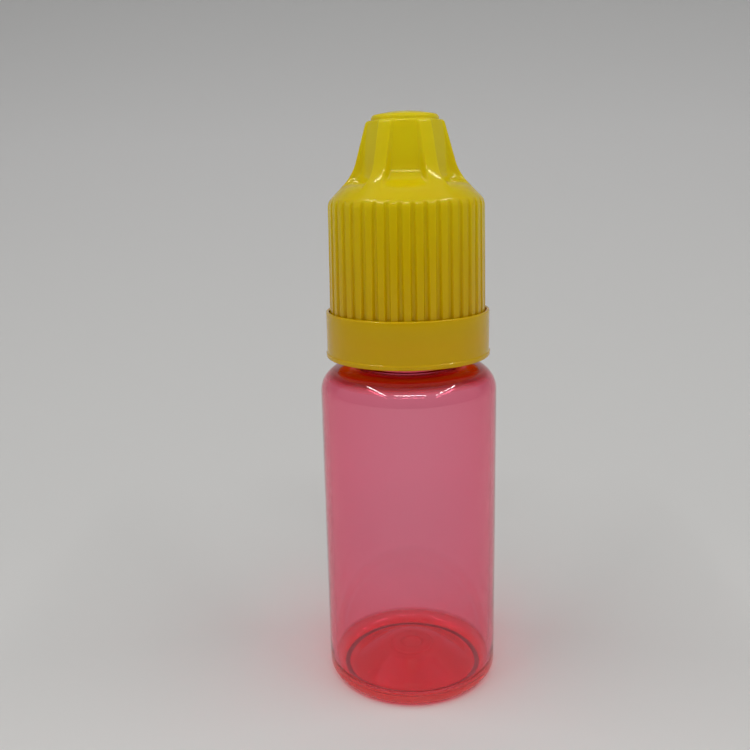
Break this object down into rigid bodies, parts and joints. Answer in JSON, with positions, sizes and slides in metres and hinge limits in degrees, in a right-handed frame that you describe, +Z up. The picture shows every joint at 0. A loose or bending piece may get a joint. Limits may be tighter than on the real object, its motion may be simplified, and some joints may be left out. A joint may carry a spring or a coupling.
{
  "type": "dropper bottle",
  "caption": "Small round squeezable dropper bottle with a plug-in nozzle, a push-and-turn screw cap with a fluted nose and ribbed grip, and a tamper ring left on the neck.",
  "frame": {"origin": "on the floor under the bottle's axis", "axes": "+Z up along the bottle's axis, towards the cap; -Y to the front, where a flute of the nose faces"},
  "size_m": [0.021, 0.021, 0.0686],
  "materials": {
    "tinted_clear_plastic": "glossy see-through tinted plastic",
    "natural_soft_plastic": "milky natural soft plastic, satin",
    "yellow_cap_plastic": "moulded plastic, semi-gloss"
  },
  "bodies": {
    "bottle": {"bottle": "tinted_clear_plastic", "dropper_tip": "natural_soft_plastic"},
    "ring": {"tamper_ring": "yellow_cap_plastic"},
    "screw_cap": {"inner_cap": "yellow_cap_plastic"},
    "grip_cap": {"outer_cap": "yellow_cap_plastic"}
  },
  "joints": [
    {"name": "cap_turn", "type": "hinge", "parent": "bottle", "child": "ring", "pos_m": [0, 0, 0.0409], "axis": [0, 0, 1], "range_deg": [0, 2520]},
    {"name": "cap_lift", "type": "slide", "parent": "ring", "child": "screw_cap", "axis": [0, 0, 1], "range_m": [0, 0.021]},
    {"name": "cap_push", "type": "slide", "parent": "screw_cap", "child": "grip_cap", "axis": [0, 0, 1], "range_m": [-0.0012, 0], "stiffness_N_per_m": 8000}
  ],
  "couplings": [
    {"joint": "cap_lift", "follows": "cap_turn", "m_per_rad": 0.00047746}
  ]
}
